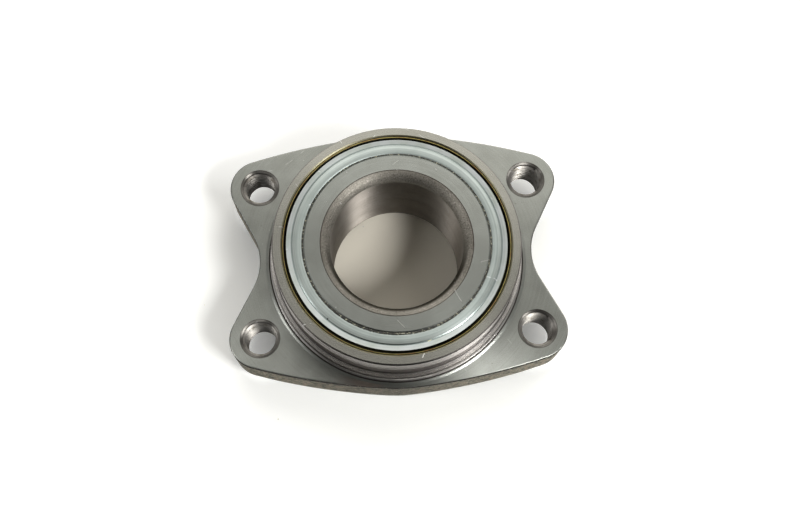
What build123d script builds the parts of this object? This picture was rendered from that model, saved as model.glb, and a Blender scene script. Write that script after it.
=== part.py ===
from build123d import *

import os
from math import acos, atan2, cos, degrees, pi, radians, sin

# Flanged double-row angular contact ball bearing for a wheel hub. Millimetres and degrees.
# Z is the bearing axis. The rear inner ring's end face is at Z = 0, and +Z leaves the front,
# which is the side with the pilot and the flange's mounting face.
# Pieces are built as the front half, with height measured from the plane between the ball rows.
# The rear half is that half mirrored.

# Rolling elements
BALL_DIAMETER = 11.112
BALLS_PER_ROW = 14
ROW_SPACING = 14.2
CONTACT_ANGLE = 35.0
BALL_CLEARANCE = 0.05
INNER_OSCULATION = 0.52
OUTER_OSCULATION = 0.53

# Inner rings
BORE_DIAMETER = 45.0
INNER_RING_WALL = 4.4
INNER_SHOULDER_HEIGHT = 3.7
INNER_LIP_HEIGHT = 1.3
SEAL_LAND_HEIGHT = 4.5
END_FACE_CHAMFER = 0.5
BORE_MOUTH_WIDTH = 3.2
BORE_MOUTH_DEPTH = 3.5
BORE_JOINT_CHAMFER = 0.1

# Clip that joins the two inner rings
CLIP_SHEET = 0.5
CLIP_HALF_WIDTH = 2.0
CLIP_HOOK_WIDTH = 0.6
CLIP_HOOK_DEPTH = 0.5
CLIP_SPLIT = 3.0

# Cages
CAGE_INNER_REACH = 2.3
CAGE_OUTER_GAP = 0.5
CAGE_MIDDLE_GAP = 0.35
POCKET_CLEARANCE = 0.1
PRONG_REACH = 2.3
PRONG_SLOT = 1.0
PRONG_SLOT_DEPTH = 2.6

# Seals, from the balls outwards
BALL_TO_SEAL = 0.644
SEAL_DEPTH = 4.7
SLINGER_INSET = 0.5
SLINGER_SHEET = 0.6
SLINGER_BEND = 0.4
SLINGER_SLEEVE_GAP = 0.2
SLINGER_STEP_DEPTH = 0.25
SLINGER_STEP_WIDTH = 0.4
SLINGER_OUTER_BAND = 1.8
LABYRINTH_GAP = 0.76
CASE_SHEET = 0.65
CASE_BEND = 0.4
CASE_INSET = 1.0
CASE_EDGE_ROUND = 0.25
CASE_FLOOR_WIDTH = 2.6
LIP_GAP = 0.08
LIP_THICKNESS = 0.5
LIP_BASE_HEIGHT = 0.7
LIP_BASE_WIDTH = 1.2

# Outer ring
OUTER_SHOULDER_HEIGHT = 3.6
SEAL_SEAT_STEP = 0.3
OUTER_RING_WALL = 3.5
OUTER_RING_SETBACK = 0.7
SEAT_MOUTH_CHAMFER = 0.5
PILOT_LEAD_WIDTH = 0.5
PILOT_LEAD_DEPTH = 0.9
PILOT_GROOVE_FROM_FACE = 5.15
PILOT_GROOVE_WIDTH = 1.2
PILOT_GROOVE_DEPTH = 0.2
SHOULDER_STEP = 1.4
SHOULDER_HEIGHT = 4.0
UNDERCUT_WIDTH = 1.1
UNDERCUT_DEPTH = 0.2
FOOT_FILLET = 1.2

# Flange
FLANGE_RIM = 1.9
FLANGE_THICKNESS = 13.7
FLANGE_EDGE_ROUND = 0.5
BOLT_CIRCLE_DIAMETER = 110.0
BOLT_ANGLE = 30.0
LUG_RADIUS = 10.5
FLANK_BOW_ANGLE = 6.5
WAIST_RADIUS = 20.0
WAIST_FLANK_ANGLE = 27.5
THREAD_DIAMETER = 12.0
THREAD_CHAMFER_WIDTH = 0.8
THREAD_CHAMFER_DEPTH = 0.55

# Rear end of the outer ring
REAR_HUB_HEIGHT = 5.1
REAR_HUB_INSET = 1.3
REAR_HUB_FILLET = 4.0
REAR_HUB_CHAMFER = 0.6

# Radii and heights that follow from the sizes above
ball_radius = BALL_DIAMETER / 2
bore_radius = BORE_DIAMETER / 2
row_height = ROW_SPACING / 2
inner_groove_radius = INNER_OSCULATION * BALL_DIAMETER
outer_groove_radius = OUTER_OSCULATION * BALL_DIAMETER
inner_play = inner_groove_radius - ball_radius - BALL_CLEARANCE
outer_play = outer_groove_radius - ball_radius - BALL_CLEARANCE
lean = radians(CONTACT_ANGLE)

inner_raceway = bore_radius + INNER_RING_WALL
pitch_radius = inner_raceway + inner_groove_radius - inner_play * cos(lean)
inner_groove_centre = (pitch_radius + inner_play * cos(lean), row_height - inner_play * sin(lean))
outer_groove_centre = (pitch_radius - outer_play * cos(lean), row_height + outer_play * sin(lean))
outer_raceway = outer_groove_centre[0] + outer_groove_radius

inner_shoulder = inner_raceway + INNER_SHOULDER_HEIGHT
inner_lip = inner_raceway + INNER_LIP_HEIGHT
seal_land = inner_raceway + SEAL_LAND_HEIGHT
outer_shoulder = outer_raceway - OUTER_SHOULDER_HEIGHT
seal_seat = outer_raceway + SEAL_SEAT_STEP
case_inside = seal_seat - CASE_SHEET
slinger_rim = case_inside - LABYRINTH_GAP
pilot_radius = seal_seat + OUTER_RING_WALL
shoulder_radius = pilot_radius + SHOULDER_STEP
foot_radius = shoulder_radius + FOOT_FILLET
disc_radius = foot_radius + FLANGE_RIM
rear_hub_radius = disc_radius - REAR_HUB_INSET

seal_floor = row_height + ball_radius + BALL_TO_SEAL
half_width = seal_floor + SEAL_DEPTH + SLINGER_INSET
ring_end = half_width - OUTER_RING_SETBACK
slinger_face = half_width - SLINGER_INSET
flange_rear = REAR_HUB_HEIGHT - ring_end
flange_front = flange_rear + FLANGE_THICKNESS

pitch_angle = 360 / BALLS_PER_ROW


def turned(*outline):
    """The ring that a closed outline of (radius, height) makes when it turns about Z."""
    section = make_face(Curve() + list(outline))
    return revolve(Plane.XZ * section, Axis.Z)


def groove_arc(centre, radius, start, end):
    """The raceway arc between two angles, counted from +radius towards +height."""
    return CenterArc(centre, radius, start, end - start)


def bolt_centres():
    reach = BOLT_CIRCLE_DIAMETER / 2
    across = reach * cos(radians(BOLT_ANGLE))
    along = reach * sin(radians(BOLT_ANGLE))
    return [(x, y) for x in (-across, across) for y in (-along, along)]


def flange_quarter():
    """A quarter of the flange's outline: central disc, bowed flank, lug, waist flank and waist."""
    lug = Vector(*max(bolt_centres()))
    # A straight flank would touch the disc and the lug on parallel radii, at this angle. The bowed one
    # leaves the disc later, and is the arc that touches the disc there and then the lug.
    excess = disc_radius - LUG_RADIUS
    straight_angle = BOLT_ANGLE + degrees(acos(excess / lug.length))
    disc_angle = straight_angle + min(FLANK_BOW_ANGLE, (90 - straight_angle) * 2 / 3)
    disc_normal = Vector(1, 0).rotate(Axis.Z, disc_angle)
    flank_reach = (lug.length**2 - excess**2) / (excess - disc_normal.dot(lug)) / 2
    flank_centre = disc_normal * -flank_reach
    flank_end = lug - flank_centre
    lug_angle = degrees(atan2(flank_end.Y, flank_end.X))
    # The waist's flank touches the lug and then the hollow waist arc.
    waist_normal = Vector(1, 0).rotate(Axis.Z, -WAIST_FLANK_ANGLE)
    lug_end = lug + waist_normal * LUG_RADIUS
    waist_reach = (WAIST_RADIUS + waist_normal.dot(lug) + LUG_RADIUS) / waist_normal.X
    waist_centre = Vector(waist_reach, 0)
    waist_start = waist_centre - waist_normal * WAIST_RADIUS
    return [
        CenterArc((0, 0), disc_radius, 90, disc_angle - 90),
        CenterArc(flank_centre, flank_reach + disc_radius, disc_angle, lug_angle - disc_angle),
        CenterArc(lug, LUG_RADIUS, lug_angle, -WAIST_FLANK_ANGLE - lug_angle),
        Line(lug_end, waist_start),
        CenterArc(waist_centre, WAIST_RADIUS, 180 - WAIST_FLANK_ANGLE, WAIST_FLANK_ANGLE),
    ]


def flange_outline():
    quarter = Curve() + flange_quarter()
    right = quarter + mirror(quarter, Plane.XZ)
    return make_face(right + mirror(right, Plane.YZ))


def tapped_hole():
    """A bolt hole, plain at its thread's full diameter, with a chamfer at each end."""
    radius = THREAD_DIAMETER / 2
    mouth = radius + THREAD_CHAMFER_WIDTH
    return turned(
        Polyline(
            (0, flange_rear),
            (mouth, flange_rear),
            (radius, flange_rear + THREAD_CHAMFER_DEPTH),
            (radius, flange_front - THREAD_CHAMFER_DEPTH),
            (mouth, flange_front),
            (0, flange_front),
            close=True,
        )
    )


def front_boss():
    """The turned front of the outer ring: foot, shoulder, undercut, grooved pilot and its lead."""
    ledge = flange_front + SHOULDER_HEIGHT
    undercut = pilot_radius - UNDERCUT_DEPTH
    groove = pilot_radius - PILOT_GROOVE_DEPTH
    groove_top = ring_end - PILOT_GROOVE_FROM_FACE
    groove_bottom = groove_top - PILOT_GROOVE_WIDTH
    return turned(
        Polyline((0, flange_rear), (foot_radius, flange_rear), (foot_radius, flange_front)),
        CenterArc((foot_radius, flange_front + FOOT_FILLET), FOOT_FILLET, 270, -90),
        Polyline(
            (shoulder_radius, flange_front + FOOT_FILLET),
            (shoulder_radius, ledge),
            (undercut, ledge),
            (undercut, ledge + UNDERCUT_WIDTH - UNDERCUT_DEPTH),
            (pilot_radius, ledge + UNDERCUT_WIDTH),
            (pilot_radius, groove_bottom - PILOT_GROOVE_DEPTH),
            (groove, groove_bottom),
            (groove, groove_top),
            (pilot_radius, groove_top + PILOT_GROOVE_DEPTH),
            (pilot_radius, ring_end - PILOT_LEAD_DEPTH),
            (pilot_radius - PILOT_LEAD_WIDTH, ring_end),
            (0, ring_end),
            (0, flange_rear),
        ),
    )


def rear_hub():
    """The rear of the outer ring, which flares into the flange within the flange's outline."""
    fillet_radius = min(REAR_HUB_FILLET, REAR_HUB_HEIGHT - REAR_HUB_CHAMFER)
    flare_start = flange_rear - fillet_radius
    flare_radius = rear_hub_radius + fillet_radius
    flared = turned(
        Polyline(
            (0, flange_rear),
            (0, -ring_end),
            (rear_hub_radius - REAR_HUB_CHAMFER, -ring_end),
            (rear_hub_radius, -ring_end + REAR_HUB_CHAMFER),
            (rear_hub_radius, flare_start),
        ),
        CenterArc((flare_radius, flare_start), fillet_radius, 180, -90),
        Line((flare_radius, flange_rear), (0, flange_rear)),
    )
    column = extrude(Pos(0, 0, -ring_end) * flange_outline(), REAR_HUB_HEIGHT)
    return flared & column


def outer_ring_bore():
    """What is cut from one half of the outer ring: rib, raceway, seal seat and mouth."""
    reach = acos((outer_shoulder - outer_groove_centre[0]) / outer_groove_radius)
    shoulder_end = outer_groove_centre[1] - outer_groove_radius * sin(reach)
    mouth = seal_seat + SEAT_MOUTH_CHAMFER
    return turned(
        Polyline((0, 0), (outer_shoulder, 0), (outer_shoulder, shoulder_end)),
        groove_arc(outer_groove_centre, outer_groove_radius, -degrees(reach), 0),
        Polyline(
            (outer_raceway, outer_groove_centre[1]),
            (outer_raceway, seal_floor),
            (seal_seat, seal_floor),
            (seal_seat, ring_end - SEAT_MOUTH_CHAMFER),
            (mouth, ring_end),
            (0, ring_end),
            (0, 0),
        ),
    )


def outer_ring():
    plate = extrude(Pos(0, 0, flange_rear) * flange_outline(), FLANGE_THICKNESS)
    front_edges = plate.edges().group_by(Axis.Z)[-1]
    plate = fillet(front_edges, FLANGE_EDGE_ROUND)
    body = plate + rear_hub() + front_boss()
    half_bore = outer_ring_bore()
    body -= half_bore + mirror(half_bore, Plane.XY)
    hole = tapped_hole()
    for x, y in bolt_centres():
        body -= Pos(x, y, 0) * hole
    return body


def inner_ring():
    """One half of the split inner ring, with its raceway, seal land and rounded bore mouth."""
    centre_radius, centre_height = inner_groove_centre
    high = acos((centre_radius - inner_shoulder) / inner_groove_radius)
    low = acos((centre_radius - inner_lip) / inner_groove_radius)
    high_end = centre_height + inner_groove_radius * sin(high)
    low_end = centre_height - inner_groove_radius * sin(low)
    land_start = high_end + seal_land - inner_shoulder
    recess = inner_lip - CLIP_SHEET
    hook = recess - CLIP_HOOK_DEPTH
    hook_start = CLIP_HALF_WIDTH - CLIP_HOOK_WIDTH
    mouth_round = (BORE_MOUTH_WIDTH**2 + BORE_MOUTH_DEPTH**2) / (2 * BORE_MOUTH_WIDTH)
    mouth_start = half_width - BORE_MOUTH_DEPTH
    mouth_edge = (bore_radius + BORE_MOUTH_WIDTH, half_width)
    mouth_middle_angle = pi - acos((mouth_round - BORE_MOUTH_WIDTH) / mouth_round) / 2
    mouth_middle = (
        bore_radius + mouth_round + mouth_round * cos(mouth_middle_angle),
        mouth_start + mouth_round * sin(mouth_middle_angle),
    )
    return turned(
        Polyline(
            (bore_radius + BORE_JOINT_CHAMFER, 0),
            (recess, 0),
            (recess, hook_start),
            (hook, hook_start),
            (hook, CLIP_HALF_WIDTH),
            (inner_lip, CLIP_HALF_WIDTH),
            (inner_lip, low_end),
        ),
        groove_arc(
            inner_groove_centre, inner_groove_radius, 180 + degrees(low), 180 - degrees(high)
        ),
        Polyline(
            (inner_shoulder, high_end),
            (seal_land, land_start),
            (seal_land, half_width - END_FACE_CHAMFER),
            (seal_land - END_FACE_CHAMFER, half_width),
            mouth_edge,
        ),
        ThreePointArc(mouth_edge, mouth_middle, (bore_radius, mouth_start)),
        Polyline(
            (bore_radius, mouth_start),
            (bore_radius, BORE_JOINT_CHAMFER),
            (bore_radius + BORE_JOINT_CHAMFER, 0),
        ),
    )


def inner_ring_clip():
    """The split spring band whose hooks hold the two inner rings together."""
    inside = inner_lip - CLIP_SHEET
    hook = inside - CLIP_HOOK_DEPTH
    hook_start = CLIP_HALF_WIDTH - CLIP_HOOK_WIDTH
    band = turned(
        Polyline(
            (inside, -hook_start),
            (inside, hook_start),
            (hook, hook_start),
            (hook, CLIP_HALF_WIDTH),
            (inner_lip, CLIP_HALF_WIDTH),
            (inner_lip, -CLIP_HALF_WIDTH),
            (hook, -CLIP_HALF_WIDTH),
            (hook, -hook_start),
            close=True,
        )
    )
    split = Pos(inner_lip, 0, 0) * Box(inner_lip, CLIP_SPLIT, 3 * CLIP_HALF_WIDTH)
    return band - split


def ball():
    return Pos(pitch_radius, 0, row_height) * Sphere(ball_radius)


def cage():
    """A crown cage: a band with a round pocket for each ball and a pair of prongs between pockets."""
    inside = pitch_radius - CAGE_INNER_REACH
    outside = outer_shoulder - CAGE_OUTER_GAP
    tip = row_height + PRONG_REACH
    band = turned(
        Polyline(
            (inside, CAGE_MIDDLE_GAP),
            (outside, CAGE_MIDDLE_GAP),
            (outside, tip),
            (inside, tip),
            close=True,
        )
    )
    pocket = Pos(pitch_radius, 0, row_height) * Sphere(ball_radius + POCKET_CLEARANCE)
    slot_size = (2 * (outside - inside), PRONG_SLOT, 2 * PRONG_SLOT_DEPTH)
    slot = Rot(0, 0, pitch_angle / 2) * Pos(pitch_radius, 0, tip) * Box(*slot_size)
    cuts = [Rot(0, 0, n * pitch_angle) * tool for n in range(BALLS_PER_ROW) for tool in (pocket, slot)]
    return band - cuts


def slinger():
    """The bent sheet ring on the seal land, with a shallow pressed step near its rim."""
    sleeve_outside = seal_land + SLINGER_SHEET
    sleeve_end = seal_floor + SLINGER_SLEEVE_GAP
    outer_bend = SLINGER_BEND + SLINGER_SHEET
    back = slinger_face - SLINGER_SHEET
    step_end = slinger_rim - SLINGER_OUTER_BAND
    step_start = step_end - SLINGER_STEP_WIDTH
    bend_centre = (seal_land + outer_bend, slinger_face - outer_bend)
    return turned(
        Line((seal_land, sleeve_end), (seal_land, bend_centre[1])),
        CenterArc(bend_centre, outer_bend, 180, -90),
        Polyline(
            (bend_centre[0], slinger_face),
            (step_start, slinger_face),
            (step_end, slinger_face - SLINGER_STEP_DEPTH),
            (slinger_rim, slinger_face - SLINGER_STEP_DEPTH),
            (slinger_rim, back - SLINGER_STEP_DEPTH),
            (step_end, back - SLINGER_STEP_DEPTH),
            (step_start, back),
            (bend_centre[0], back),
        ),
        CenterArc(bend_centre, SLINGER_BEND, 90, 90),
        Polyline(
            (sleeve_outside, bend_centre[1]), (sleeve_outside, sleeve_end), (seal_land, sleeve_end)
        ),
    )


def seal_case():
    """The sheet cup pressed into the outer ring, with a rounded edge and a floor that bears the lip."""
    edge = half_width - CASE_INSET
    floor_top = seal_floor + CASE_SHEET
    floor_inside = case_inside - CASE_FLOOR_WIDTH
    outer_bend = CASE_BEND + CASE_SHEET
    bend_centre = (seal_seat - outer_bend, seal_floor + outer_bend)
    return turned(
        Polyline((bend_centre[0], seal_floor), (floor_inside, seal_floor), (floor_inside, floor_top)),
        Line((floor_inside, floor_top), (bend_centre[0], floor_top)),
        CenterArc(bend_centre, CASE_BEND, 270, 90),
        Line((case_inside, bend_centre[1]), (case_inside, edge - CASE_EDGE_ROUND)),
        CenterArc((case_inside + CASE_EDGE_ROUND, edge - CASE_EDGE_ROUND), CASE_EDGE_ROUND, 180, -90),
        Line((case_inside + CASE_EDGE_ROUND, edge), (seal_seat - CASE_EDGE_ROUND, edge)),
        CenterArc((seal_seat - CASE_EDGE_ROUND, edge - CASE_EDGE_ROUND), CASE_EDGE_ROUND, 90, -90),
        Line((seal_seat, edge - CASE_EDGE_ROUND), (seal_seat, bend_centre[1])),
        CenterArc(bend_centre, outer_bend, 0, -90),
    )


def seal_lip():
    """The rubber on the case's floor: a radial lip at the slinger's sleeve and a side lip at its back."""
    floor_top = seal_floor + CASE_SHEET
    floor_inside = case_inside - CASE_FLOOR_WIDTH
    base_inside = floor_inside - LIP_BASE_WIDTH
    base_top = floor_top + LIP_BASE_HEIGHT
    sleeve = seal_land + SLINGER_SHEET + LIP_GAP
    back = slinger_face - SLINGER_SHEET - SLINGER_STEP_DEPTH - LIP_GAP
    side_root = floor_inside - LIP_THICKNESS
    side_tip = slinger_rim - SLINGER_OUTER_BAND / 2
    radial_top = base_top + LIP_THICKNESS
    return turned(
        Polyline(
            (floor_inside, seal_floor),
            (base_inside, seal_floor),
            (base_inside, floor_top),
            (sleeve, base_top),
            (sleeve, radial_top),
            (base_inside, base_top),
            (side_root, base_top),
            (side_tip - LIP_THICKNESS, back),
            (side_tip, back),
            (floor_inside + LIP_THICKNESS, base_top),
            (floor_inside + LIP_BASE_WIDTH, base_top),
            (floor_inside + LIP_BASE_WIDTH, floor_top),
            (floor_inside, floor_top),
            close=True,
        )
    )


def write(name, piece):
    """Writes a piece, built about the plane between the rows, at its real height."""
    placed = Pos(0, 0, half_width) * piece
    placed.label = name
    export_step(placed, f"parts/{name}.step")


def write_pair(name, piece, rear_turn=0.0):
    """Writes a front piece and its mirrored rear twin, which may be turned about the axis."""
    write(f"front_{name}", piece)
    write(f"rear_{name}", Rot(0, 0, rear_turn) * mirror(piece, Plane.XY))


def main():
    os.makedirs("parts", exist_ok=True)
    write("outer_ring", outer_ring())
    write("inner_ring_clip", inner_ring_clip())
    write_pair("inner_ring", inner_ring())
    write_pair("slinger", slinger())
    write_pair("seal_case", seal_case())
    write_pair("seal_lip", seal_lip())
    # The rear row stands half a pocket round from the front row.
    write_pair("cage", cage(), pitch_angle / 2)
    for number in range(BALLS_PER_ROW):
        turned_ball = Rot(0, 0, number * pitch_angle) * ball()
        write_pair(f"ball_{number + 1:02d}", turned_ball, pitch_angle / 2)


main()
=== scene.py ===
import math

import bmesh
import bpy
from mathutils import Matrix, Vector, noise


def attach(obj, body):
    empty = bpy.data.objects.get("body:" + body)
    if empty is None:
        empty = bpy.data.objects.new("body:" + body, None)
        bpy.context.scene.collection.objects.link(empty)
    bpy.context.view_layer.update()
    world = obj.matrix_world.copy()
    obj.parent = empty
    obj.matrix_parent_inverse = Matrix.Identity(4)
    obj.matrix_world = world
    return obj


# Flanged wheel hub bearing on pale paper under soft light. Metres and radians, unless a name says otherwise.
MM = 0.001

# Camera: where it stands, which way it looks and its lens, matched to the photograph's 800 by 532 frame
CAMERA_PLACE = Vector((-9.2, -105.0, 353.9)) * MM
CAMERA_AZIMUTH = math.radians(5.83)
CAMERA_ELEVATION = math.radians(73.01)
CAMERA_ROLL = math.radians(-3.63)
CAMERA_LENS_MM = 45.0
CAMERA_SENSOR_MM = 36.0
CAMERA_NEAREST = 10 * MM

# Radii from the bearing's axis and heights above its rear end face
WIDTH = 37.0 * MM
BORE_RADIUS = 22.5 * MM
BORE_MOUTH_RADIUS = 25.7 * MM
BORE_MOUTH_DEPTH = 3.5 * MM
SEAL_LAND_RADIUS = 31.4 * MM
SLINGER_FACE = 36.5 * MM
SLINGER_ROLL_RADIUS = 33.6 * MM
SLINGER_STEP_START = 34.89 * MM
SLINGER_STEP_END = 35.29 * MM
SLINGER_RIM = 37.09 * MM
CASE_INNER_RADIUS = 37.84 * MM
SEAT_RADIUS = 38.49 * MM
SEAT_MOUTH_RADIUS = 38.99 * MM
OUTER_FACE = 36.3 * MM
FACE_EDGE_RADIUS = 41.49 * MM
PILOT_RADIUS = 41.99 * MM
PILOT_TOP = 35.4 * MM
GROOVE_LOW = 29.95 * MM
GROOVE_HIGH = 31.15 * MM
LEDGE_RADIUS = 43.39 * MM
LEDGE = 23.5 * MM
FOOT_RADIUS = 44.59 * MM
FLANGE_REAR = 5.8 * MM
FLANGE_FRONT = 19.5 * MM
BOLT_X = 47.63 * MM
BOLT_Y = 27.5 * MM
HOLE_MOUTH_RADIUS = 6.8 * MM
HOLE_CHAMFER_DEPTH = 0.55 * MM

# M12x1.5 threads in the four holes. A ridge's half widths at crest and foot are shares of the pitch.
THREAD_ROOT_RADIUS = 6.0 * MM
THREAD_CREST_RADIUS = 5.19 * MM
THREAD_PITCH = 1.5 * MM
THREAD_HALF_CREST = 0.125 * THREAD_PITCH
THREAD_HALF_FOOT = 0.4375 * THREAD_PITCH
THREAD_STEPS = 48

# Grease squeezed out between the inner ring's edge and the slinger, with lumps about 0.5 and 0.2 mm apart
GREASE_HALF_WIDTH = 0.58 * MM
GREASE_RISE = 0.2 * MM
GREASE_DEPTH = 0.3 * MM
GREASE_MIDDLE = SLINGER_FACE - 0.08 * MM
GREASE_LUMPS_PER_RADIAN = 60
GREASE_CRUMBS_PER_RADIAN = 150
GREASE_STEPS = 420
GREASE_PROFILE = 9

# Places of single marks that the photograph shows. Scratches have two ends, in mm across the part.
OIL_STAIN = Vector((-12.0, -47.5, 19.5)) * MM
DARK_RIM_TIP = Vector((-6.0, -47.0, 9.75)) * MM
RING_SCRATCH = ((6.7, -39.6), (7.9, -37.2))
SLINGER_NICK = ((-23.6, -25.5), (-23.8, -25.8))
SLINGER_SCRATCH = ((8.7, -34.3), (9.8, -33.9))

# Edges of added pieces that bend by more than this stay sharp
SHARP_ANGLE = math.radians(35)

# Shaders count an anisotropic rotation in whole turns
QUARTER_TURN = 0.25

FLOOR_REACH = 2.0


def colour(code):
    """A colour written as sRGB hex, in the linear values that shaders use."""
    parts = [int(code[start:start + 2], 16) / 255 for start in (1, 3, 5)]
    linear = [p / 12.92 if p <= 0.04045 else ((p + 0.055) / 1.055) ** 2.4 for p in parts]
    return (*linear, 1.0)


def plug(tree, target, value):
    """Gives an input a plain value, a socket, or a node, which stands for its first output in use."""
    if isinstance(value, bpy.types.Node):
        value = next(output for output in value.outputs if output.enabled)
    if isinstance(value, bpy.types.NodeSocket):
        tree.links.new(value, target)
    else:
        target.default_value = value


def add(tree, kind, links, **settings):
    """Adds a node: settings are its properties, and links are what its inputs take."""
    made = tree.nodes.new("ShaderNode" + kind)
    for name, value in settings.items():
        setattr(made, name, value)
    for socket, value in links.items():
        plug(tree, made.inputs[socket], value)
    return made


def new_material(name, metallic, roughness):
    """A material with one shader. Returns the material, its node tree and the shader."""
    material = bpy.data.materials.new(name)
    material.use_nodes = True
    tree = material.node_tree
    tree.nodes.clear()
    shader = add(tree, "BsdfPrincipled", {"Metallic": metallic, "Roughness": roughness})
    add(tree, "OutputMaterial", {"Surface": shader})
    return material, tree, shader


class Place:
    """Where a point of the surface is, by itself and about the bearing's axis."""

    def __init__(self, tree):
        self.point = add(tree, "TexCoord", {}).outputs["Object"]
        self.flat = add(tree, "VectorMath", {0: self.point, 1: (1, 1, 0)}, operation="MULTIPLY")
        self.radius = add(tree, "VectorMath", {0: self.flat}, operation="LENGTH")
        self.direction = add(tree, "VectorMath", {0: self.flat}, operation="NORMALIZE")
        self.height = add(tree, "SeparateXYZ", {0: self.point}).outputs["Z"]


# Masks, which are 1 where something is and 0 where it isn't

def above(tree, value, edge, softness):
    """1 above the edge and 0 below it, with a soft change."""
    limits = {"Value": value, "From Min": edge - softness, "From Max": edge + softness}
    return add(tree, "MapRange", limits, interpolation_type="SMOOTHSTEP")


def below(tree, value, edge, softness):
    """1 below the edge and 0 above it, with a soft change."""
    return add(tree, "Math", {0: 1.0, 1: above(tree, value, edge, softness)}, operation="SUBTRACT")


def ramp(tree, value, low, high, start=0.0, end=1.0):
    """Goes evenly from start to end as the value goes from low to high."""
    limits = {"Value": value, "From Min": low, "From Max": high, "To Min": start, "To Max": end}
    return add(tree, "MapRange", limits)


def both(tree, *masks):
    """1 where every mask is 1. A number among them weakens the rest."""
    whole = masks[0]
    for mask in masks[1:]:
        whole = add(tree, "Math", {0: whole, 1: mask}, operation="MULTIPLY")
    return whole


def either(tree, first, second):
    """The stronger of two masks."""
    return add(tree, "Math", {0: first, 1: second}, operation="MAXIMUM")


def band(tree, value, low, high, softness):
    """1 between two edges and 0 outside them."""
    past_low = above(tree, value, low, softness)
    past_high = above(tree, value, high, softness)
    return add(tree, "Math", {0: past_low, 1: past_high}, operation="SUBTRACT")


def near_edge(tree, here, edge_radius, edge_height, width):
    """1 on a turned edge, falling to 0 at the given distance from it."""
    spot = add(tree, "CombineXYZ", {"X": here.radius, "Y": here.height})
    gap = add(tree, "VectorMath", {0: spot, 1: (edge_radius, edge_height, 0)}, operation="DISTANCE")
    return below(tree, gap, 0.6 * width, 0.4 * width)


def near_place(tree, here, place, reach, softness):
    """1 round a place, falling softly to 0 past the reach."""
    gap = add(tree, "VectorMath", {0: here.point, 1: place}, operation="DISTANCE")
    return below(tree, gap, reach, softness)


def from_hole(tree, here):
    """The distance from the axis of the nearest bolt hole."""
    mirrored = add(tree, "VectorMath", {0: here.flat}, operation="ABSOLUTE")
    return add(tree, "VectorMath", {0: mirrored, 1: (BOLT_X, BOLT_Y, 0)}, operation="DISTANCE")


def steep(tree):
    """1 on walls and 0 on faces that look up or down."""
    normal = add(tree, "NewGeometry", {}).outputs["True Normal"]
    upward = add(tree, "SeparateXYZ", {0: normal}).outputs["Z"]
    return below(tree, add(tree, "Math", {0: upward}, operation="ABSOLUTE"), 0.3, 0.1)


def scratch(tree, here, ends, width):
    """1 along a straight scratch between its two ends."""
    first, last = (Vector((*end, 0)) * MM for end in ends)
    way = last - first
    gone = add(tree, "VectorMath", {0: here.flat, 1: first}, operation="SUBTRACT")
    share = add(tree, "VectorMath", {0: gone, 1: way / way.length_squared}, operation="DOT_PRODUCT")
    nearest = add(tree, "VectorMath", {0: way, "Scale": ramp(tree, share, 0.0, 1.0)}, operation="SCALE")
    gap = add(tree, "VectorMath", {0: gone, 1: nearest}, operation="DISTANCE")
    return below(tree, gap, 0.5 * width, 0.3 * width)


# Patterns

def round_marks(tree, here, radius, across, along, detail=2.0):
    """Marks that a tool leaves round the axis, about as far apart as across, and as long as along where they
    are at the radius."""
    turned = add(tree, "VectorMath", {0: here.direction, "Scale": radius / along}, operation="SCALE")
    layer = add(tree, "Math", {0: here.height, 1: across}, operation="DIVIDE")
    ring = add(tree, "Math", {0: here.radius, 1: across}, operation="DIVIDE")
    where = add(tree, "VectorMath", {0: turned, 1: add(tree, "CombineXYZ", {"Z": layer})}, operation="ADD")
    settings = {"Vector": where, "W": ring, "Scale": 1.0, "Detail": detail}
    return add(tree, "TexNoise", settings, noise_dimensions="4D")


def mottle(tree, here, grain, detail=3.0, roughness=0.5):
    """Cloudy noise whose clouds are about as wide as the grain."""
    settings = {"Vector": here.point, "Scale": 1 / grain, "Detail": detail, "Roughness": roughness}
    return add(tree, "TexNoise", settings)


def specks(tree, here, spacing, size, share, seed):
    """Small round specks, one to a cell of the given spacing in a share of the cells."""
    moved = add(tree, "VectorMath", {0: here.point, 1: (seed, seed, seed)}, operation="ADD")
    cells = add(tree, "TexVoronoi", {"Vector": moved, "Scale": 1 / spacing})
    inside = below(tree, cells.outputs["Distance"], size / spacing, 0.3 * size / spacing)
    pick = add(tree, "SeparateXYZ", {0: cells.outputs["Color"]}).outputs["X"]
    return both(tree, inside, below(tree, pick, share, 0.01))


def hairlines(tree, here, spread, seed):
    """Fine, nearly straight scratches: thin contour lines of a broad noise, broken up by a finer one."""
    moved = add(tree, "VectorMath", {0: here.point, 1: (seed, 0, seed)}, operation="ADD")
    broad = add(tree, "TexNoise", {"Vector": moved, "Scale": 1 / spread, "Detail": 0.0})
    fine = add(tree, "TexNoise", {"Vector": moved, "Scale": 9 / spread, "Detail": 1.0})
    away = add(tree, "Math", {0: broad, 1: 0.5}, operation="SUBTRACT")
    away = add(tree, "Math", {0: away}, operation="ABSOLUTE")
    # In shares of the noise's range. They make a line about 0.1 mm wide.
    half_width, softness = 0.0018, 0.0014
    return both(tree, below(tree, away, half_width, softness), above(tree, fine, 0.6, 0.03))


def contrast(tree, patterns):
    """Sums patterns that are given with their shares, and spreads the sum over the range from 0 to 1."""
    whole = 0.0
    for pattern, share in patterns:
        whole = add(tree, "Math", {0: pattern, 1: share, 2: whole}, operation="MULTIPLY_ADD")
    return above(tree, whole, 0.5, 0.2)


# Finishes

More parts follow.
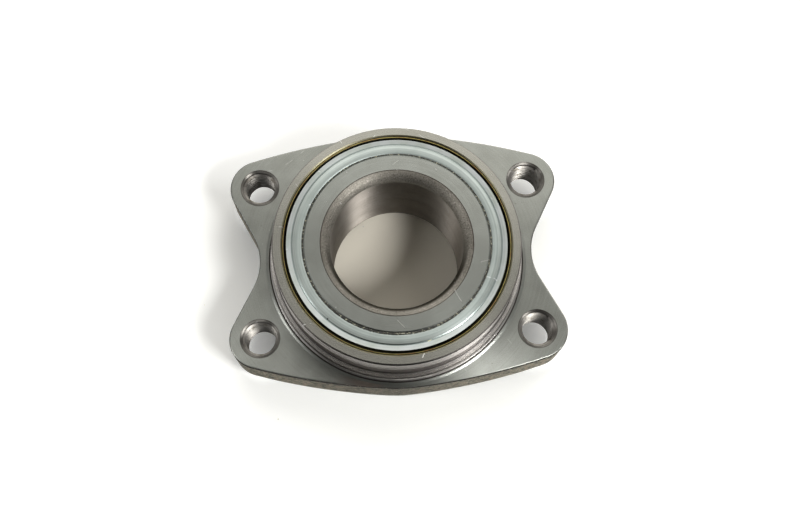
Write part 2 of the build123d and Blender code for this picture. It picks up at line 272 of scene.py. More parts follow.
def finish(tree, shader, marks, ground, zones):
    """Lays zones of colour and roughness over a ground. The ground is a dark and a light colour, with the
    shader's roughness. A zone is a mask, a dark and a light colour, and a roughness. The marks choose between
    dark and light."""
    dark, light = ground
    rough = shader.inputs["Roughness"].default_value
    whole = add(tree, "Mix", {0: marks, 6: colour(dark), 7: colour(light)}, data_type="RGBA")
    for mask, dark, light, zone_rough in zones:
        over = add(tree, "Mix", {0: marks, 6: colour(dark), 7: colour(light)}, data_type="RGBA")
        whole = add(tree, "Mix", {0: mask, 6: whole, 7: over}, data_type="RGBA")
        rough = add(tree, "Mix", {0: mask, 2: rough, 3: zone_rough})
    plug(tree, shader.inputs["Base Color"], whole)
    plug(tree, shader.inputs["Roughness"], rough)


def relief(tree, shader, layers):
    """Bumps laid over each other. A layer is a height pattern and how far it stands out."""
    links = {}
    for pattern, rise in layers:
        bump = add(tree, "Bump", {"Height": pattern, "Strength": 1.0, "Distance": rise, **links})
        links = {"Normal": bump}
    plug(tree, shader.inputs["Normal"], bump)


def stretch_round(tree, here, shader, amount):
    """Highlights spread across the marks that turning and grinding leave round the axis."""
    along = add(tree, "VectorMath", {0: (0, 0, 1), 1: here.point}, operation="CROSS_PRODUCT")
    spaces = {"vector_type": "VECTOR", "convert_from": "OBJECT", "convert_to": "WORLD"}
    world = add(tree, "VectorTransform", {0: along}, **spaces)
    plug(tree, shader.inputs["Tangent"], add(tree, "VectorMath", {0: world}, operation="NORMALIZE"))
    shader.inputs["Anisotropic"].default_value = amount
    shader.inputs["Anisotropic Rotation"].default_value = QUARTER_TURN


def other_sheen(tree, shader, mask, roughness, amount):
    """Where the mask is 1, a second shader takes over, with the same colour and bumps but its own roughness
    and stretch of highlights: turned walls smear light into tall streaks, and rolled sheet hardly at all."""
    shared = {name: shader.inputs[name].links[0].from_socket for name in ("Base Color", "Normal", "Tangent")}
    second = add(tree, "BsdfPrincipled", {"Metallic": 1.0, "Roughness": roughness, **shared})
    second.inputs["Anisotropic"].default_value = amount
    second.inputs["Anisotropic Rotation"].default_value = QUARTER_TURN
    mixed = add(tree, "MixShader", {0: mask, 1: shader, 2: second})
    plug(tree, tree.nodes["Material Output"].inputs["Surface"], mixed)


# Materials

def pilot_zones(tree, here, patches):
    """The pilot: bright turned walls with tool lines, painted shade below the groove and in it, painted
    highlights on the ledge and the groove's lips, a painted dark reflection on the lead chamfer, worn edges,
    painted shade in the corners and in the seal seat's gap, and a stain in the seat's mouth. Returns the
    zones and the walls' mask."""
    boss = band(tree, here.height, FLANGE_FRONT + 0.05 * MM, OUTER_FACE - 0.05 * MM, 0.04 * MM)
    wall = both(tree, boss, steep(tree))
    # The tool's single lines, 0.1 mm apart, are too fine to show, so bundles of them are drawn
    lines = above(tree, round_marks(tree, here, 42 * MM, 0.55 * MM, 300 * MM), 0.5, 0.06)
    low_wall = both(tree, wall, below(tree, here.height, GROOVE_HIGH + 0.7 * MM, 0.7 * MM))
    ledge = both(tree, band(tree, here.height, LEDGE - 0.05 * MM, LEDGE + 0.05 * MM, 0.03 * MM),
                 band(tree, here.radius, PILOT_RADIUS + 0.3 * MM, LEDGE_RADIUS, 0.2 * MM))
    lead_chamfer = both(tree, boss, above(tree, here.height, PILOT_TOP + 0.08 * MM, 0.08 * MM))
    groove = both(tree, wall, band(tree, here.height, GROOVE_LOW, GROOVE_HIGH, 0.1 * MM))
    low_lip = band(tree, here.height, GROOVE_LOW - 0.5 * MM, GROOVE_LOW, 0.1 * MM)
    high_lip = band(tree, here.height, GROOVE_HIGH, GROOVE_HIGH + 0.5 * MM, 0.1 * MM)
    pilot_edge = near_edge(tree, here, PILOT_RADIUS, PILOT_TOP, 0.16 * MM)
    ledge_edge = near_edge(tree, here, LEDGE_RADIUS, LEDGE, 0.25 * MM)
    worn = both(tree, either(tree, pilot_edge, ledge_edge), above(tree, patches, 0.42, 0.1),
                below(tree, here.height, PILOT_TOP, 0.05 * MM))
    foot_corner = near_edge(tree, here, FOOT_RADIUS - 0.25 * MM, FLANGE_FRONT + 0.1 * MM, 0.4 * MM)
    ledge_corner = near_edge(tree, here, PILOT_RADIUS, LEDGE + 0.3 * MM, 0.7 * MM)
    seal_mouth = both(tree, above(tree, here.height, PILOT_TOP, 0.1 * MM),
                      below(tree, here.radius, SEAT_MOUTH_RADIUS + 0.05 * MM, 0.1 * MM))
    painted_gap_shade = both(tree, seal_mouth, below(tree, here.radius, SEAT_RADIUS + 0.12 * MM, 0.08 * MM))
    zones = [
        (boss, "#a09d99", "#bebab6", 0.3),
        (both(tree, wall, lines), "#6a6561", "#817b77", 0.3),
        # Painted shade on the wall below the groove
        (both(tree, low_wall, 0.85), "#393430", "#4d4743", 0.35),
        # Painted highlight on the ledge
        (ledge, "#d6d2cd", "#e8e4df", 0.26),
        # Painted dark reflection on the lead chamfer
        (lead_chamfer, "#56524e", "#6b6763", 0.26),
        # Painted shade in the groove
        (groove, "#3f3a36", "#544e49", 0.4),
        # Painted highlights on the lips of the groove
        (both(tree, wall, either(tree, low_lip, high_lip)), "#c3bfba", "#d4d0cb", 0.3),
        (worn, "#c4c0bb", "#d2cec9", 0.25),
        # Painted shade in the corners at the foot and under the ledge
        (either(tree, foot_corner, ledge_corner), "#2b2623", "#3a3431", 0.5),
        (seal_mouth, "#87826b", "#9c977f", 0.4),
        # Painted shade in the gap between the seat and the seal case
        (painted_gap_shade, "#1c1a12", "#28251a", 0.5),
    ]
    return zones, wall


def rim_zones(tree, here, patches, flange):
    """The flange's rim: the brown, pitted skin of the forging with bright flecks, darker at its front tip,
    and painted shade along its rounded upper edge, broken by bright flecks. Returns the zones and the mask of
    the skin."""
    flecks = mottle(tree, here, 0.7 * MM, detail=3.0, roughness=0.7)
    # The borders of the skin and of the painted shade along the edge wander up and down with the patches
    wander = add(tree, "Math", {0: patches, 1: 0.5}, operation="SUBTRACT")
    ragged = add(tree, "Math", {0: wander, 1: 2.4 * MM, 2: here.height}, operation="MULTIPLY_ADD")
    skin = both(tree, flange, band(tree, ragged, FLANGE_REAR + 0.3 * MM, FLANGE_FRONT - 0.55 * MM, 0.08 * MM))
    front_tip = near_place(tree, here, DARK_RIM_TIP, 18 * MM, 12 * MM)
    shaded_edge = both(tree, flange, above(tree, ragged, FLANGE_FRONT - 1.5 * MM, 0.1 * MM),
                below(tree, here.height, FLANGE_FRONT - 0.1 * MM, 0.05 * MM))
    zones = [
        (skin, "#5f5d4e", "#858170", 0.6),
        (both(tree, skin, above(tree, patches, 0.56, 0.04)), "#6f6152", "#8b7d6b", 0.55),
        (both(tree, skin, below(tree, patches, 0.45, 0.03)), "#2b2a23", "#413f35", 0.6),
        (both(tree, skin, front_tip, 0.45), "#33312a", "#4f4b41", 0.6),
        (both(tree, skin, above(tree, flecks, 0.66, 0.03)), "#b3ab98", "#c9c2af", 0.4),
        # Painted shade along the rounded upper edge, with bright flecks in it
        (shaded_edge, "#23211d", "#38352f", 0.5),
        (both(tree, shaded_edge, above(tree, flecks, 0.64, 0.03)), "#a39c8d", "#bdb7a8", 0.4),
    ]
    return zones, skin


def hole_zones(tree, here, reach):
    """The bolt holes: cut steel, with a dark line at the mouth and one where the thread starts."""
    hole = below(tree, reach, HOLE_MOUTH_RADIUS, 0.05 * MM)
    mouth = band(tree, reach, HOLE_MOUTH_RADIUS - 0.15 * MM, HOLE_MOUTH_RADIUS + 0.12 * MM, 0.08 * MM)
    thread_start = band(tree, reach, THREAD_ROOT_RADIUS - 0.1 * MM, THREAD_ROOT_RADIUS + 0.12 * MM, 0.08 * MM)
    chamfer = above(tree, here.height, FLANGE_FRONT - HOLE_CHAMFER_DEPTH, 0.1 * MM)
    return [
        (hole, "#716e69", "#8a8781", 0.42),
        (both(tree, either(tree, mouth, thread_start), chamfer, 0.7), "#4c4a45", "#5e5b56", 0.45),
    ]


def turned_flange_steel():
    """Forged bearing steel. Its front faces are finely turned, which gives soft grey metal with light that
    fans out across the turning marks. The pilot is turned bright, the flange's rim keeps the brown, pitted
    skin of the forging, and the holes are freshly cut."""
    material, tree, shader = new_material("turned_flange_steel", 1.0, 0.34)
    here = Place(tree)
    clouds = mottle(tree, here, 9 * MM)
    patches = mottle(tree, here, 1.6 * MM, detail=5.0, roughness=0.65)
    # Turning marks and grain are finer than 0.1 mm on the real faces, and are drawn 0.3 mm wide to show
    grain = mottle(tree, here, 0.3 * MM, detail=2.0)
    turning = round_marks(tree, here, 45 * MM, 0.3 * MM, 40 * MM)
    marks = contrast(tree, [(clouds, 0.35), (turning, 0.25), (grain, 0.4)])
    reach = from_hole(tree, here)
    flange = both(tree, above(tree, here.radius, FOOT_RADIUS + 0.8 * MM, 0.1 * MM),
                  above(tree, reach, HOLE_MOUTH_RADIUS, 0.05 * MM))
    stain = both(tree, near_place(tree, here, OIL_STAIN, 8 * MM, 6 * MM), flange,
                 above(tree, clouds, 0.4, 0.15), 0.8)
    pilot, wall = pilot_zones(tree, here, patches)
    rim, skin = rim_zones(tree, here, patches, flange)
    ring_face = above(tree, here.height, OUTER_FACE - 0.04 * MM, 0.03 * MM)
    ring_scratch = both(tree, ring_face, scratch(tree, here, RING_SCRATCH, 0.25 * MM))
    finish(tree, shader, marks, ("#8d8f88", "#a7a9a3"), [
        (stain, "#8b7b70", "#a3948a", 0.5),
        (ring_face, "#8c8b83", "#9c9b93", 0.24),
        *pilot,
        *rim,
        *hole_zones(tree, here, reach),
        (specks(tree, here, 3.1 * MM, 0.14 * MM, 0.3, 0.37), "#c6c6c2", "#d6d6d2", 0.5),
        (specks(tree, here, 4.3 * MM, 0.16 * MM, 0.25, 0.11), "#4a4a44", "#5c5c56", 0.6),
        (hairlines(tree, here, 30 * MM, 0.2), "#b4b4b0", "#c2c2be", 0.3),
        (ring_scratch, "#d8d7d0", "#e6e5de", 0.5),
    ])
    # The lead chamfer catches light as if it were flatter, and the foot as if it ran out into the flange
    lead = both(tree, above(tree, here.radius, FACE_EDGE_RADIUS - 0.5 * MM, 0.2 * MM),
                ramp(tree, here.height, OUTER_FACE, PILOT_TOP))
    soft_foot = both(tree, below(tree, here.height, FLANGE_FRONT + 0.1 * MM, 0.05 * MM),
                     below(tree, here.radius, FOOT_RADIUS + 0.55 * MM, 0.5 * MM))
    relief(tree, shader, [
        (turning, 0.012 * MM),
        (grain, 0.02 * MM),
        (both(tree, skin, patches), 0.5 * MM),
        (lead, 0.33 * MM),
        (soft_foot, 0.22 * MM),
    ])
    # The skin of the forging is partly oxide, so it is less metallic
    plug(tree, shader.inputs["Metallic"], ramp(tree, skin, 0.0, 1.0, 1.0, 0.4))
    stretch_round(tree, here, shader, 0.8)
    other_sheen(tree, shader, wall, 0.43, 1.0)
    return material


def ground_ring_steel():
    """Hardened bearing steel, ground on its end faces to an even grey. The turned mouth of the bore is rough
    and keeps a brown tint from hardening, with painted shade deep in at the front. The bore is ground smooth."""
    material, tree, shader = new_material("ground_ring_steel", 1.0, 0.26)
    here = Place(tree)
    clouds = mottle(tree, here, 7 * MM)
    # Grinding marks are about 0.02 mm wide on the real faces, and are drawn 0.25 mm wide to show
    grain = mottle(tree, here, 0.25 * MM, detail=2.0)
    grinding = round_marks(tree, here, 28 * MM, 0.25 * MM, 30 * MM)
    turning = round_marks(tree, here, 24 * MM, 0.3 * MM, 2.5 * MM)
    crumbs = mottle(tree, here, 0.45 * MM, detail=2.0)
    marks = contrast(tree, [(clouds, 0.3), (grinding, 0.3), (grain, 0.4)])
    from_middle = add(tree, "Math", {0: here.height, 1: 0.5 * WIDTH}, operation="SUBTRACT")
    from_middle = add(tree, "Math", {0: from_middle}, operation="ABSOLUTE")
    mouth_start = 0.5 * WIDTH - BORE_MOUTH_DEPTH
    mouth = both(tree, below(tree, here.radius, BORE_MOUTH_RADIUS - 0.05 * MM, 0.04 * MM),
                 above(tree, from_middle, mouth_start, 0.1 * MM))
    bore = both(tree, below(tree, here.radius, BORE_RADIUS + 0.4 * MM, 0.1 * MM),
                below(tree, from_middle, mouth_start, 0.1 * MM))
    line = band(tree, here.radius, BORE_MOUTH_RADIUS - 0.18 * MM, BORE_MOUTH_RADIUS + 0.1 * MM, 0.06 * MM)
    mouth_line = both(tree, line, above(tree, from_middle, 0.5 * WIDTH - 0.6 * MM, 0.1 * MM))
    rearward = add(tree, "SeparateXYZ", {0: here.direction}).outputs["Y"]
    shaded_deep_front = both(tree, mouth, below(tree, rearward, -0.2, 0.35),
                      below(tree, here.radius, BORE_RADIUS + 1.4 * MM, 0.5 * MM))
    finish(tree, shader, marks, ("#81837d", "#959893"), [
        (mouth, "#76736a", "#97938a", 0.58),
        (both(tree, mouth, above(tree, crumbs, 0.64, 0.1)), "#9d968e", "#b1aaa2", 0.5),
        (both(tree, mouth, below(tree, crumbs, 0.38, 0.1)), "#5f5952", "#726c65", 0.6),
        # Painted shade deep in the mouth at the front
        (shaded_deep_front, "#34312a", "#46433a", 0.55),
        (bore, "#78726a", "#a09a92", 0.4),
        (mouth_line, "#3d3833", "#4a453f", 0.4),
        (specks(tree, here, 2.4 * MM, 0.13 * MM, 0.25, 0.53), "#bcbcb7", "#cacac5", 0.5),
        (hairlines(tree, here, 26 * MM, 0.6), "#adada8", "#babab5", 0.3),
    ])
    relief(tree, shader, [
        (grinding, 0.01 * MM),
        (grain, 0.016 * MM),
        (both(tree, mouth, turning), 0.05 * MM),
    ])
    stretch_round(tree, here, shader, 0.7)
    other_sheen(tree, shader, bore, 0.48, 1.0)
    return material


def zinc_plated_sheet():
    """Pressed steel sheet with bright zinc plating: pale grey with a faint green and violet bloom and fine
    rings from polishing. Inside its step the sheet is rolled over and duller, and thin lines of painted shade
    mark the step and the roll."""
    material, tree, shader = new_material("zinc_plated_sheet", 1.0, 0.32)
    here = Place(tree)
    bloom = mottle(tree, here, 6 * MM)
    # Polishing rings are finer than 0.1 mm on the real sheet, and are drawn 0.6 mm wide to show
    polish = round_marks(tree, here, 35 * MM, 0.6 * MM, 90 * MM, detail=4.0)
    marks = contrast(tree, [(bloom, 0.3), (polish, 0.7)])
    inner_band = below(tree, here.radius, SLINGER_ROLL_RADIUS - 0.1 * MM, 0.5 * MM)
    outer_band = above(tree, here.radius, SLINGER_STEP_END, 0.08 * MM)
    violet = both(tree, outer_band, above(tree, bloom, 0.45, 0.15), 0.35)
    shaded_step_line = band(tree, here.radius, SLINGER_STEP_END - 0.02 * MM, SLINGER_STEP_END + 0.2 * MM, 0.05 * MM)
    shaded_roll_line = band(tree, here.radius, SLINGER_ROLL_RADIUS, SLINGER_ROLL_RADIUS + 0.15 * MM, 0.06 * MM)
    finish(tree, shader, marks, ("#9da6a2", "#b9c1bd"), [
        (inner_band, "#99a29e", "#b3bbb7", 0.44),
        (outer_band, "#a4aca6", "#c0c7c0", 0.3),
        (violet, "#babdc8", "#d0d2da", 0.3),
        # Painted shade along the step and where the roll starts
        (shaded_step_line, "#7d8a87", "#8e9997", 0.3),
        (both(tree, shaded_roll_line, 0.5), "#8a9693", "#9ba5a3", 0.3),
        (specks(tree, here, 3.7 * MM, 0.12 * MM, 0.3, 0.71), "#6f7670", "#7d847e", 0.5),
        (hairlines(tree, here, 28 * MM, 0.9), "#d4d9d9", "#dde1e1", 0.3),
        (scratch(tree, here, SLINGER_NICK, 0.3 * MM), "#2b2d2b", "#343634", 0.5),
        (scratch(tree, here, SLINGER_SCRATCH, 0.2 * MM), "#dcd8b0", "#e8e4bc", 0.5),
    ])
    # The sheet rises a little towards the ring, and its outer band is slightly dished
    relief(tree, shader, [
        (polish, 0.01 * MM),
        (mottle(tree, here, 0.4 * MM), 0.006 * MM),
        (below(tree, here.radius, SLINGER_STEP_START - 0.5 * MM, 0.5 * MM), 0.04 * MM),
        (ramp(tree, here.radius, SLINGER_STEP_END, SLINGER_RIM), 0.13 * MM),
    ])
    stretch_round(tree, here, shader, 0.75)
    other_sheen(tree, shader, inner_band, 0.5, 0.3)
    return material


def gold_passivated_sheet():
    """Pressed steel sheet with yellow passivated zinc plating: an olive gold that drifts to brown, with a
    painted highlight on its rolled edge, and dulled by oil where it meets the outer ring."""
    material, tree, shader = new_material("gold_passivated_sheet", 1.0, 0.4)
    here = Place(tree)
    drift = mottle(tree, here, 2.5 * MM)
    # The press tool's marks are finer than 0.1 mm on the real sheet, and are drawn 0.3 mm wide to show
    press_marks = round_marks(tree, here, 38 * MM, 0.3 * MM, 12 * MM)
    marks = contrast(tree, [(drift, 0.6), (press_marks, 0.4)])
    crest = band(tree, here.radius, CASE_INNER_RADIUS + 0.28 * MM, CASE_INNER_RADIUS + 0.45 * MM, 0.05 * MM)
    oily = above(tree, here.radius, SEAT_RADIUS - 0.12 * MM, 0.05 * MM)
    finish(tree, shader, marks, ("#3a3728", "#4f4b38"), [
        # Painted highlight on the rolled edge
        (crest, "#968a52", "#bbad6c", 0.32),
        (both(tree, crest, above(tree, drift, 0.56, 0.06)), "#7a5c34", "#96734a", 0.35),
        (oily, "#3a3528", "#4a4434", 0.5),
    ])
    relief(tree, shader, [(press_marks, 0.01 * MM)])
    stretch_round(tree, here, shader, 0.3)
    return material


def nitrile_rubber():
    """Moulded nitrile rubber: matt black with a faint bloom and a little oil shine."""
    material, tree, shader = new_material("nitrile_rubber", 0.0, 0.6)
    here = Place(tree)
    bloom = mottle(tree, here, 1.5 * MM)
    oil = above(tree, mottle(tree, here, 4 * MM), 0.55, 0.08)
    finish(tree, shader, bloom, ("#161615", "#242423"), [(oil, "#1b1b1a", "#232321", 0.35)])
    relief(tree, shader, [(mottle(tree, here, 0.3 * MM), 0.01 * MM)])
    return material


def glass_filled_nylon():
    """Injection-moulded nylon with short glass fibres: dark tan, faintly streaked where the melt flowed."""
    material, tree, shader = new_material("glass_filled_nylon", 0.0, 0.5)
    shader.inputs["IOR"].default_value = 1.53
    here = Place(tree)
    flow = round_marks(tree, here, 32 * MM, 0.6 * MM, 9 * MM)
    # Fibre ends are about 0.01 mm wide in the real nylon, and are drawn 0.08 mm wide to show
    fibres = specks(tree, here, 0.8 * MM, 0.08 * MM, 0.5, 0.2)
    finish(tree, shader, flow, ("#8a7a5c", "#a08f6e"), [(fibres, "#b5a586", "#c4b495", 0.4)])
    relief(tree, shader, [(mottle(tree, here, 0.2 * MM), 0.006 * MM)])
    return material


def polished_ball_steel():
    """Lapped bearing steel: a mirror with a trace of grease."""
    material, tree, shader = new_material("polished_ball_steel", 1.0, 0.07)
    here = Place(tree)
    grease = above(tree, mottle(tree, here, 5 * MM), 0.55, 0.1)
    finish(tree, shader, mottle(tree, here, 3 * MM), ("#c4c5c6", "#cfd0d1"), [
        (grease, "#b7b3a4", "#c0bcae", 0.22),
    ])
    relief(tree, shader, [(mottle(tree, here, 0.5 * MM), 0.001 * MM)])
    return material


def spring_steel():
    """Cold-rolled spring steel strip: dark grey with lengthwise rolling lines."""
    material, tree, shader = new_material("spring_steel", 1.0, 0.35)
    here = Place(tree)
    lines = round_marks(tree, here, 28 * MM, 0.2 * MM, 30 * MM)
    finish(tree, shader, lines, ("#5f5f61", "#77777a"), [])
    relief(tree, shader, [(lines, 0.01 * MM)])
    stretch_round(tree, here, shader, 0.4)
    return material


def oiled_cut_steel():
    """Thread ridges cut by a tap: bright flanks with a brown film of cutting oil."""
    material, tree, shader = new_material("oiled_cut_steel", 1.0, 0.4)
    here = Place(tree)
    film = mottle(tree, here, 1.8 * MM)
    thick_oil = above(tree, mottle(tree, here, 3 * MM), 0.58, 0.08)
    finish(tree, shader, film, ("#6f6c67", "#8d8a84"), [(thick_oil, "#5b5750", "#6e6a62", 0.44)])
    relief(tree, shader, [(mottle(tree, here, 0.3 * MM), 0.02 * MM)])
    return material


def dirty_grease():
    """Lithium grease that has picked up dust: dark olive, wet and lumpy, with pale crumbs."""
    material, tree, shader = new_material("dirty_grease", 0.0, 0.4)
    shader.inputs["IOR"].default_value = 1.48
    here = Place(tree)
    lumps = mottle(tree, here, 0.6 * MM, detail=4.0, roughness=0.6)
    crumbs = above(tree, lumps, 0.59, 0.03)
    finish(tree, shader, lumps, ("#11110b", "#25241b"), [(crumbs, "#86846f", "#aeac96", 0.6)])
    relief(tree, shader, [(lumps, 0.3 * MM)])
    return material


def white_paper():
    """Matt white paper with a faint mottle and a few specks, with painted shade and warm reflected light
    under the bore. What the camera or a reflection sees of it is lifted towards pure white: fully away from
    the part and behind it, partly below the bolt holes as painted light, a little near the part, where the
    shadow stays, and not at all under the bore."""
    away_lift, hole_light, near_lift = 0.35, 0.27, 0.11
    material, tree, shader = new_material("white_paper", 0.0, 0.9)
    here = Place(tree)
    under_bore = below(tree, here.radius, 28 * MM, 2 * MM)
    finish(tree, shader, mottle(tree, here, 3 * MM), ("#f3f3ef", "#f5f5f1"), [
        # Painted shade and warm light reflected from the steel, under the bore
        (under_bore, "#e2dccd", "#e5dfd0", 0.9),
        (specks(tree, here, 8 * MM, 0.3 * MM, 0.35, 0.43), "#c9c6bd", "#d3d0c7", 0.9),
    ])
    path = add(tree, "LightPath", {})
    seen = either(tree, path.outputs["Is Camera Ray"], path.outputs["Is Glossy Ray"])
    seen = either(tree, seen, path.outputs["Is Transmission Ray"])
    rearward = add(tree, "SeparateXYZ", {0: here.point}).outputs["Y"]
    away = either(tree, above(tree, here.radius, 75 * MM, 50 * MM), above(tree, rearward, 34 * MM, 14 * MM))
    # Painted light on the paper seen through the bolt holes
    lit_below_hole = both(tree, below(tree, from_hole(tree, here), 11 * MM, 2 * MM),
                      ramp(tree, here.radius, 48 * MM, 66 * MM))
    near = ramp(tree, under_bore, 0.0, 1.0, near_lift, 0.0)
    lift = add(tree, "Math", {0: lit_below_hole, 1: hole_light, 2: near}, operation="MULTIPLY_ADD")
    lift = either(tree, lift, both(tree, away, away_lift))
    plug(tree, shader.inputs["Emission Strength"], both(tree, seen, lift))
    shader.inputs["Emission Color"].default_value = colour("#ffffff")
    return material


# Pieces

def keep_piece(name, shape, material, body):
    """Turns mesh data into a piece that rides on a body of the frame."""
    mesh = bpy.data.meshes.new(name)
    shape.to_mesh(mesh)
    shape.free()
    mesh.materials.append(material)
    mesh.shade_smooth()
    mesh.set_sharp_from_angle(angle=SHARP_ANGLE)
    piece = bpy.data.objects.new(name, mesh)
    bpy.context.collection.objects.link(piece)
    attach(piece, body)
    return piece


def join_rings(shape, rings, closed):
    """Faces between rings of points, each ring closed on itself, with caps at the ends of an open run."""
    count = len(rings[0])
    pairs = list(zip(rings, rings[1:]))
    if closed:
        pairs.append((rings[-1], rings[0]))
    for first, second in pairs:
        for n in range(count):
            m = (n + 1) % count
            shape.faces.new((first[n], first[m], second[m], second[n]))
    if not closed:
        shape.faces.new(list(reversed(rings[0])))
        shape.faces.new(rings[-1])
    bmesh.ops.recalc_face_normals(shape, faces=shape.faces)


def cut_thread(name, centre_x, centre_y, material):
    """The helical ridge of an M12x1.5 thread. Its foot is let into the hole's wall, and the countersinks at
    both ends cut it off."""
    run_out = 0.2 * MM
    end_gap = 0.05 * MM
    low = FLANGE_REAR + HOLE_CHAMFER_DEPTH
    high = FLANGE_FRONT - HOLE_CHAMFER_DEPTH
    slope = (HOLE_MOUTH_RADIUS - THREAD_ROOT_RADIUS) / HOLE_CHAMFER_DEPTH
    foot = THREAD_ROOT_RADIUS + 0.15 * MM
    deepest = THREAD_ROOT_RADIUS + 0.05 * MM
    profile = [
        (foot, -THREAD_HALF_FOOT),
        (THREAD_CREST_RADIUS, -THREAD_HALF_CREST),
        (THREAD_CREST_RADIUS, THREAD_HALF_CREST),
        (foot, THREAD_HALF_FOOT),
    ]
    start = low + run_out
    turns = (high - run_out - start) / THREAD_PITCH
    shape = bmesh.new()
    rings = []
    for number in range(int(turns * THREAD_STEPS) + 1):
        angle = math.tau * number / THREAD_STEPS
        middle = start + THREAD_PITCH * number / THREAD_STEPS
        ring = []
        for radius, offset in profile:
            height = min(max(middle + offset, low + end_gap), high - end_gap)
            countersink = THREAD_ROOT_RADIUS - slope * min(height - low, high - height)
            if radius < foot:
                radius = min(max(radius, countersink), deepest)
            corner = (centre_x + radius * math.cos(angle), centre_y + radius * math.sin(angle), height)
            ring.append(shape.verts.new(corner))
        rings.append(ring)
    join_rings(shape, rings, closed=False)
    return keep_piece(name, shape, material, "outer")


def squeezed_grease(name, material):
    """An uneven bead of grease in the groove between the inner ring's edge and the slinger. It stands up
    round the front half and sinks out of sight round the back."""
    shape = bmesh.new()
    rings = []
    for number in range(GREASE_STEPS):
        angle = math.tau * number / GREASE_STEPS
        across, along = math.cos(angle), math.sin(angle)
        # 1 at the front and 0 at the back
        front = min(max(0.62 - 0.75 * along, 0.0), 1.0)
        lump = noise.noise(Vector((across, along, 0)) * GREASE_LUMPS_PER_RADIAN)
        lump += 0.6 * noise.noise(Vector((across, along, 1)) * GREASE_CRUMBS_PER_RADIAN)
        rise = GREASE_RISE * (0.3 + front + front * lump)
        half_width = GREASE_HALF_WIDTH * (0.75 + 0.2 * front + 0.36 * front * lump)
        ring = []
        for n in range(GREASE_PROFILE):
            turn = math.tau * n / GREASE_PROFILE
            radius = SEAL_LAND_RADIUS + half_width * math.cos(turn)
            height = GREASE_MIDDLE + (rise if math.sin(turn) > 0 else GREASE_DEPTH) * math.sin(turn)
            ring.append(shape.verts.new((radius * across, radius * along, height)))
        rings.append(ring)
    join_rings(shape, rings, closed=True)
    return keep_piece(name, shape, material, "inner")


def dress(node_name, material):
    """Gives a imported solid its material."""
    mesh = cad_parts[node_name].data
    mesh.materials.clear()
    mesh.materials.append(material)


# Room

def towards(azimuth, elevation):
    """The direction of a place in the room, in degrees: azimuth from the right, elevation from the floor."""
    azimuth, elevation = math.radians(azimuth), math.radians(elevation)
    return Vector((math.cos(azimuth) * math.cos(elevation), math.sin(azimuth) * math.cos(elevation),
                   math.sin(elevation)))


def light_tent():
    """A white tent that the part reflects: brighter low down, with glowing panels and dark places. The camera
    itself sees plain white."""
    world = bpy.data.worlds.new("light_tent")
    world.use_nodes = True
    tree = world.node_tree
    tree.nodes.clear()
    way = add(tree, "TexCoord", {}).outputs["Generated"]

    def toward(azimuth, elevation, edge, softness):
        facing = add(tree, "VectorMath", {0: way, 1: towards(azimuth, elevation)}, operation="DOT_PRODUCT")
        return above(tree, facing, edge, softness)

    upward = add(tree, "SeparateXYZ", {0: way}).outputs["Z"]
    strength = ramp(tree, above(tree, upward, 0.4, 0.25), 0.0, 1.0, 0.5, 0.24)
    # Panels: their direction, the cosine of their half width, its softness, and the strength they add
    for azimuth, elevation, edge, softness, gain in (
        (80, 42, 0.87, 0.07, 1.85),
        (0, 4, 0.86, 0.1, 0.2),
        (180, 4, 0.86, 0.1, 0.2),
    ):
        panel = toward(azimuth, elevation, edge, softness)
        strength = add(tree, "Math", {0: panel, 1: gain, 2: strength}, operation="MULTIPLY_ADD")
    # Dark places at the front and above the camera, written like the panels, with the share of light left
    for azimuth, elevation, edge, softness, left in (
        (-103, 12, 0.8, 0.1, 0.06),
        (-92, 68, 0.88, 0.09, 0.45),
    ):
        shade = toward(azimuth, elevation, edge, softness)
        strength = both(tree, strength, ramp(tree, shade, 0.0, 1.0, 1.0, left))
    rear = toward(80, 42, 0.7, 0.25)
    tint = add(tree, "Mix", {0: rear, 6: colour("#ffffff"), 7: colour("#fefcf8")}, data_type="RGBA")
    tent = add(tree, "Background", {"Color": tint, "Strength": strength})
    white = add(tree, "Background", {"Color": colour("#ffffff"), "Strength": 1.0})
    path = add(tree, "LightPath", {})
    shown = add(tree, "MixShader", {0: path.outputs["Is Camera Ray"], 1: tent, 2: white})
    add(tree, "OutputWorld", {"Surface": shown})
    bpy.context.scene.world = world


def softboxes():
    """A strong softbox at the right front and a weak one at the left: direction, distance, size and watts."""
    for name, azimuth, elevation, distance, size, power in (
        ("key_softbox", -40, 50, 0.8, 0.2, 4.8),
        ("fill_softbox", 191, 45, 0.8, 0.18, 0.95),
    ):
        lamp = bpy.data.lights.new(name, "AREA")
        lamp.energy = power
        lamp.size = size
        box = bpy.data.objects.new(name, lamp)
        box.location = towards(azimuth, elevation) * distance
        box.rotation_euler = box.location.to_track_quat("Z", "Y").to_euler()
        bpy.context.collection.objects.link(box)


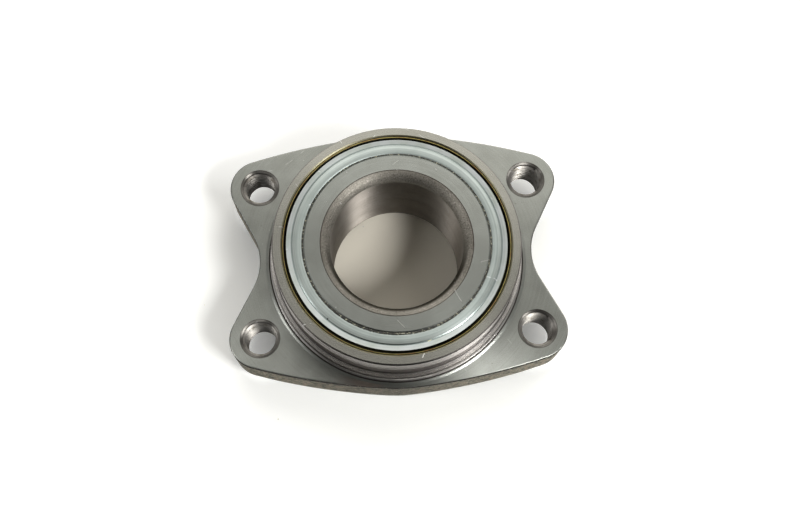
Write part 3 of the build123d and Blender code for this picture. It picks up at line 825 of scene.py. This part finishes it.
def place_camera():
    """Stands the camera where the photograph was taken from. Before its roll, its right side is level."""
    azimuth, elevation, roll = CAMERA_AZIMUTH, CAMERA_ELEVATION, CAMERA_ROLL
    ahead = Vector((math.sin(azimuth) * math.cos(elevation), math.cos(azimuth) * math.cos(elevation),
                    -math.sin(elevation)))
    level = Vector((math.cos(azimuth), -math.sin(azimuth), 0))
    down = ahead.cross(level)
    right = math.cos(roll) * level + math.sin(roll) * down
    up = math.sin(roll) * level - math.cos(roll) * down
    pose = Matrix((right, up, -ahead)).transposed().to_4x4()
    pose.translation = CAMERA_PLACE
    data = bpy.data.cameras.new("camera")
    data.lens = CAMERA_LENS_MM
    data.sensor_width = CAMERA_SENSOR_MM
    data.clip_start = CAMERA_NEAREST
    camera = bpy.data.objects.new("camera", data)
    camera.matrix_world = pose
    bpy.context.collection.objects.link(camera)
    bpy.context.scene.camera = camera


def lay_floor():
    """A sheet of paper that reaches far past the picture on every side."""
    mesh = bpy.data.meshes.new("floor")
    corners = [(x * FLOOR_REACH, y * FLOOR_REACH, 0) for x, y in ((-1, -1), (1, -1), (1, 1), (-1, 1))]
    mesh.from_pydata(corners, [], [(0, 1, 2, 3)])
    mesh.materials.append(white_paper())
    floor = bpy.data.objects.new("floor", mesh)
    bpy.context.collection.objects.link(floor)


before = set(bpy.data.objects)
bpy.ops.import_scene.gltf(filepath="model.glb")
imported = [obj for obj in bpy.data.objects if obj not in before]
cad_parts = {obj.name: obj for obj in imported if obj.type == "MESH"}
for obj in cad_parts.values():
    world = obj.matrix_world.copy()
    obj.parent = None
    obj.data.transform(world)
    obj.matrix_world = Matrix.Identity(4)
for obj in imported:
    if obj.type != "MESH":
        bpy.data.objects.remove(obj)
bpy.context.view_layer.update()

dress("outer_ring", turned_flange_steel())
ring_steel = ground_ring_steel()
plated = zinc_plated_sheet()
passivated = gold_passivated_sheet()
rubber = nitrile_rubber()
nylon = glass_filled_nylon()
for side in ("front", "rear"):
    dress(f"{side}_inner_ring", ring_steel)
    dress(f"{side}_slinger", plated)
    dress(f"{side}_seal_case", passivated)
    dress(f"{side}_seal_lip", rubber)
    dress(f"{side}_cage", nylon)
dress("inner_ring_clip", spring_steel())
ball_steel = polished_ball_steel()
for node_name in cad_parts:
    if "_ball_" in node_name:
        dress(node_name, ball_steel)

cut_steel = oiled_cut_steel()
for number, (across, along) in enumerate(((1, 1), (-1, 1), (-1, -1), (1, -1)), start=1):
    cut_thread(f"hole_thread_{number}", across * BOLT_X, along * BOLT_Y, cut_steel)
squeezed_grease("front_grease_bead", dirty_grease())

lay_floor()
light_tent()
softboxes()
place_camera()
bpy.context.scene.view_settings.view_transform = "Standard"
